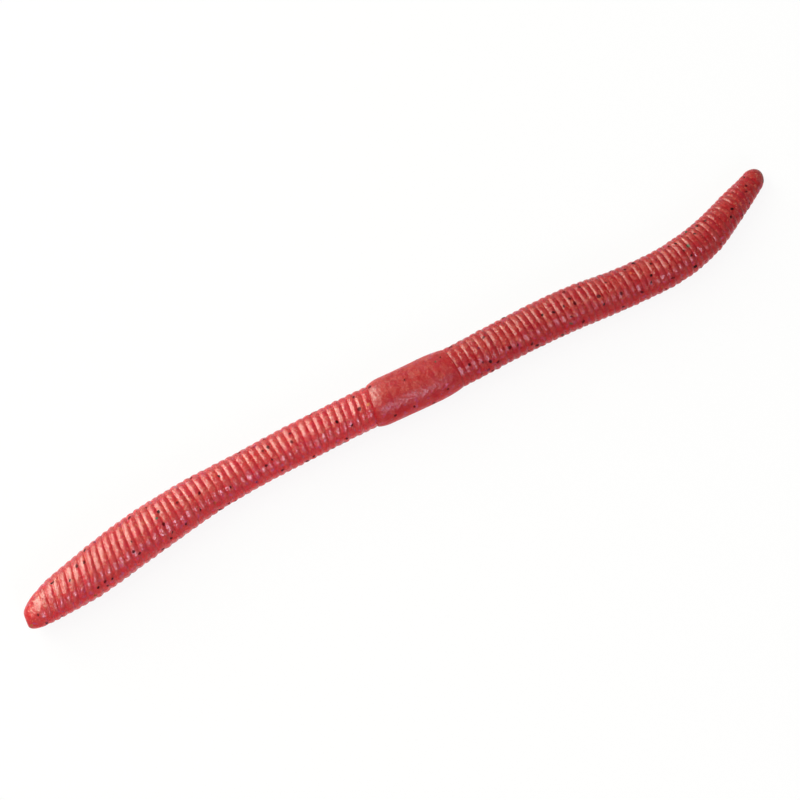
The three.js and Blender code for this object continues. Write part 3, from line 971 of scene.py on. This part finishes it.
def lift_to_white(tree, shaded, amount, kind):
    """Mixes plain white into what the camera, mirrors and glass see."""
    factor = arithmetic(tree, "MULTIPLY", seen_directly(tree), amount)
    white = add_node(tree, kind, {"Color": PURE_WHITE, "Strength": 1.0})
    return add_node(tree, "MixShader", {0: factor, 1: shaded, 2: white.outputs[0]}).outputs[0]


floor_material = bpy.data.materials.new("white_floor")
floor_material.use_nodes = True
tree = floor_material.node_tree
shader = tree.nodes["Principled BSDF"]
colour = blend_colours(tree, seen_directly(tree), FLOOR_GREY, FLOOR_WHITE)
tree.links.new(colour, shader.inputs["Base Color"])
shader.inputs["Roughness"].default_value = FLOOR_ROUGHNESS
floor_place = add_node(tree, "NewGeometry").outputs["Position"]
distance = add_node(tree, "VectorMath", {0: floor_place}, operation="LENGTH").outputs["Value"]
sockets = {"Value": distance, **WHITENING}
whitening = add_node(tree, "MapRange", sockets, interpolation_type="SMOOTHSTEP").outputs["Result"]
lifted = lift_to_white(tree, shader.outputs[0], whitening, "Emission")
tree.links.new(lifted, tree.nodes["Material Output"].inputs["Surface"])
bpy.ops.mesh.primitive_plane_add(size=FLOOR_SIZE)
floor = bpy.context.object
floor.name = "floor"
floor.data.materials.append(floor_material)

world = bpy.data.worlds.new("studio")
bpy.context.scene.world = world
world.use_nodes = True
tree = world.node_tree
room = tree.nodes["Background"]
room.inputs["Color"].default_value = PURE_WHITE
room.inputs["Strength"].default_value = ROOM_STRENGTH
lifted = lift_to_white(tree, room.outputs[0], 1.0, "Background")
tree.links.new(lifted, tree.nodes["World Output"].inputs["Surface"])
print("floor of", FLOOR_SIZE, "m in a room of strength", ROOM_STRENGTH)

# %% [markdown]
# ## Camera
#
# The photograph looks down on the worm steeply and from far off, which shows in how alike the near
# and the far end are in size. A long lens at a distance gives that. The camera's three axes are
# worked out first, because the lamps are placed by them too.

# %% Camera
VIEW_TURN, VIEW_TILT = math.radians(-33.2), math.radians(72)
VIEW_DISTANCE, LENS, SENSOR = 450.0, 146.95, 36
LOOK_AT = Vector((-0.99, 0.252, 2.954))

turned = Matrix.Rotation(VIEW_TURN, 3, "Z")
right = turned @ Vector((1, 0, 0))
backward = turned @ Vector((0, -math.cos(VIEW_TILT), math.sin(VIEW_TILT)))
view_axes = Matrix((right, backward.cross(right), backward)).transposed()
camera_data = bpy.data.cameras.new("camera")
camera_data.lens, camera_data.sensor_width = LENS, SENSOR
camera = link_object("camera", camera_data)
camera.location = (LOOK_AT + backward * VIEW_DISTANCE) * MM
camera.rotation_euler = view_axes.to_euler()
bpy.context.scene.camera = camera
bpy.context.scene.view_settings.view_transform = "Standard"
print("camera in mm:", [round(IN_MM * value) for value in camera.location])

# %% [markdown]
# ## Studio light
#
# The pale streaks on the rings, and their absence on the smooth saddle, tell where the studio light
# stood: on the nose's side and a little behind, where the flanks of the rings face it and the
# straight band does not. That is the side panel. A small cool panel in front draws the second row
# of streaks, and two wide faint panels, behind and in front, lift the shadows.
#
# How bright the plastic is and how bright its streaks are have to be set apart from each other. So
# each panel is two lamps in one place: one that lights the plastic and isn't mirrored in it, and
# one that is only mirrored. Directions are given as the camera sees them, as right, up and towards
# the viewer, and sizes and distances are in metres.

# %% Studio light
ACROSS_BODY, ACROSS_FRONT = (-0.39, 0.6, -0.69), (0.46, -0.7, -0.54)
PANELS = {
    "side_panel": {
        "toward": (-0.68, 0.495, 0.54), "long_way": ACROSS_BODY, "distance": 0.7,
        "size": (0.36, 1.3), "colour": (0.96, 1, 0.84), "lit": 4.6, "mirrored": 26,
    },
    "back_panel": {
        "toward": (-0.535, 0.832, 0.139), "long_way": ACROSS_BODY, "distance": 1.0,
        "size": (1.6, 0.5), "colour": (0.85, 1, 0.9), "lit": 0.7, "mirrored": 0.5,
    },
    "front_panel": {
        "toward": (0.289, -0.512, 0.808), "long_way": ACROSS_FRONT, "distance": 0.8,
        "size": (0.1, 0.26), "colour": (0.92, 0.8, 1), "lit": 15, "mirrored": 80,
    },
    "fill_panel": {
        "toward": (0.347, -0.54, 0.766), "long_way": ACROSS_FRONT, "distance": 1.0,
        "size": (2.2, 0.8), "colour": (1, 0.8, 0.76), "lit": 0.7, "mirrored": 0,
    },
}


def add_lamp(name, location, rotation, size, colour, radiance):
    """A rectangular lamp. Its power follows from how bright its face is and how large."""
    light = bpy.data.lights.new(name, "AREA")
    light.shape, light.size, light.size_y = "RECTANGLE", size[0], size[1]
    light.energy = radiance * math.pi * size[0] * size[1]
    light.color = colour
    lamp = link_object(name, light)
    lamp.location, lamp.rotation_euler = location, rotation
    return lamp


def add_panel(name, toward, long_way, distance, size, colour, lit, mirrored):
    """The two lamps of a panel, facing the worm, with its length along the long way."""
    direction = (view_axes @ Vector(toward)).normalized()
    sideways = (view_axes @ Vector(long_way)).cross(direction).normalized()
    axes = Matrix((sideways, direction.cross(sideways), direction)).transposed()
    for role, radiance in (("lit", lit), ("mirrored", mirrored)):
        if radiance:
            place = (direction * distance, axes.to_euler())
            lamp = add_lamp(f"{name}_{role}", *place, size, colour, radiance)
            lamp.visible_diffuse = role == "lit"
            lamp.visible_glossy = role == "mirrored"


for panel, settings in PANELS.items():
    add_panel(panel, **settings)
print("lamps:", len(bpy.data.lights))
